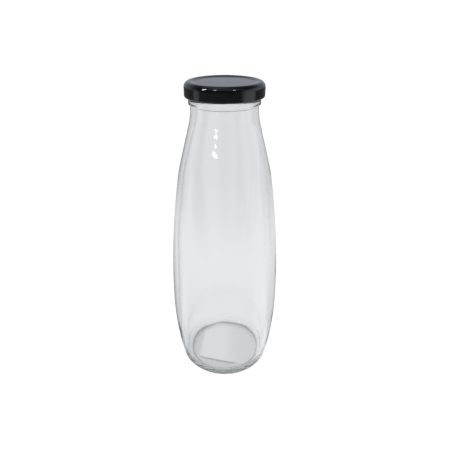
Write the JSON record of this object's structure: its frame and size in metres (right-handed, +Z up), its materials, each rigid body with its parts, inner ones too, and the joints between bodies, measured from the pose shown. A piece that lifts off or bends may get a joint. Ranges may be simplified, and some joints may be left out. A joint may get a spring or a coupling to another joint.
{
  "type": "glass milk bottle with a twist-off cap",
  "caption": "Clear glass milk bottle with a barrel-shaped body, short neck and neck ring, closed by a low black twist-off metal cap that lifts as it unscrews.",
  "frame": {"origin": "on the bottle's axis, on the surface that it stands on", "axes": "+Z up along the bottle's axis, out of the mouth; the picture looks along +Y with +X to the right"},
  "size_m": [0.0734, 0.0734, 0.2021],
  "materials": {
    "clear_glass": "clear soda-lime glass, fire-polished, faintly green where it is thick",
    "black_lacquer": "glossy black lacquer on tinplate",
    "soft_seal": "off-white soft plastic sealing compound"
  },
  "bodies": {
    "bottle": {"glass_bottle": "clear_glass"},
    "seal": {"sealing_gasket": "soft_seal"},
    "cap": {"cap_shell": "black_lacquer"}
  },
  "joints": [
    {"name": "cap_rise", "type": "slide", "parent": "bottle", "child": "seal", "axis": [0, 0, 1], "range_m": [0, 0.016]},
    {"name": "cap_twist", "type": "hinge", "parent": "seal", "child": "cap", "pos_m": [0, 0, 0.1975], "axis": [0, 0, 1], "range_deg": [0, 360]}
  ],
  "couplings": [
    {"joint": "cap_rise", "follows": "cap_twist", "m_per_rad": 0.0025464}
  ]
}
